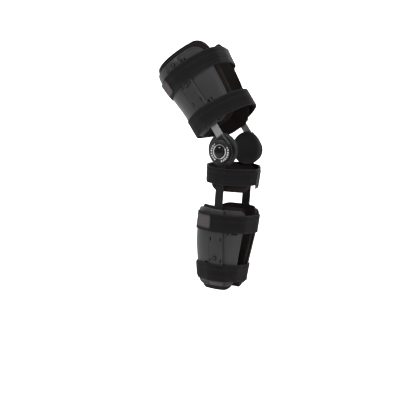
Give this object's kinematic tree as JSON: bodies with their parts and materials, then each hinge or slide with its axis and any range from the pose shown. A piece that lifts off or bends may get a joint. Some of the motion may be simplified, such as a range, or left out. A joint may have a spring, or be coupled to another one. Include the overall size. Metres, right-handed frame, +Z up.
{
  "type": "hinged knee brace",
  "caption": "Post-operative knee brace for a right leg: shells on foam pads strapped to thigh and calf, joined by bars with stop-dial hinges at both sides of the knee.",
  "frame": {"origin": "knee centre: on the hinge axis, midway between the two hinges", "axes": "+Z up, +Y towards the back of the knee, +X towards the inner side of the leg; the outer side is at -X"},
  "size_m": [0.1786, 0.242, 0.5611],
  "materials": {
    "foam_pad": "matt laminated foam",
    "shell_plastic": "satin moulded",
    "strap_fabric": "loop pile",
    "tab_fabric": "matt",
    "bar_aluminium": "brushed",
    "bar_black": "anodised black",
    "cover_plastic": "satin moulded",
    "dial_plastic": "satin, printed marks",
    "cap_plastic": "gloss"
  },
  "bodies": {
    "thigh": {"thigh_pad_lateral": "foam_pad", "thigh_pad_medial": "foam_pad", "thigh_shell_lateral": "shell_plastic", "thigh_shell_medial": "shell_plastic", "thigh_rivet_lateral_1": "cover_plastic", "thigh_rivet_lateral_2": "cover_plastic", "thigh_rivet_medial_1": "cover_plastic", "thigh_rivet_medial_2": "cover_plastic", "thigh_bar_lateral": "bar_aluminium", "thigh_bar_medial": "bar_aluminium", "thigh_strap_upper": "strap_fabric", "thigh_strap_lower": "strap_fabric", "thigh_strap_upper_tab": "tab_fabric", "hinge_cover_lateral": "cover_plastic", "hinge_cover_medial": "cover_plastic", "hinge_dial_lateral": "dial_plastic", "hinge_dial_medial": "dial_plastic", "hinge_pin_lateral": "cap_plastic", "hinge_pin_medial": "cap_plastic"},
    "calf": {"condyle_pad_lateral": "foam_pad", "condyle_pad_medial": "foam_pad", "knee_pad_lateral": "foam_pad", "knee_pad_medial": "foam_pad", "knee_strap": "strap_fabric", "knee_strap_end": "strap_fabric", "calf_pad_lateral": "foam_pad", "calf_pad_medial": "foam_pad", "calf_shell_lateral": "shell_plastic", "calf_shell_medial": "shell_plastic", "calf_rivet_lateral_1": "cover_plastic", "calf_rivet_medial_1": "cover_plastic", "calf_bar_lateral": "bar_black", "calf_bar_medial": "bar_black", "calf_strap_upper": "strap_fabric", "calf_strap_lower": "strap_fabric", "calf_strap_upper_tab": "tab_fabric", "calf_strap_lower_tab": "tab_fabric"}
  },
  "joints": [
    {"name": "knee_hinge", "type": "hinge", "parent": "thigh", "child": "calf", "pos_m": [0, 0, 0], "axis": [1, 0, 0], "range_deg": [-40, 50]}
  ]
}
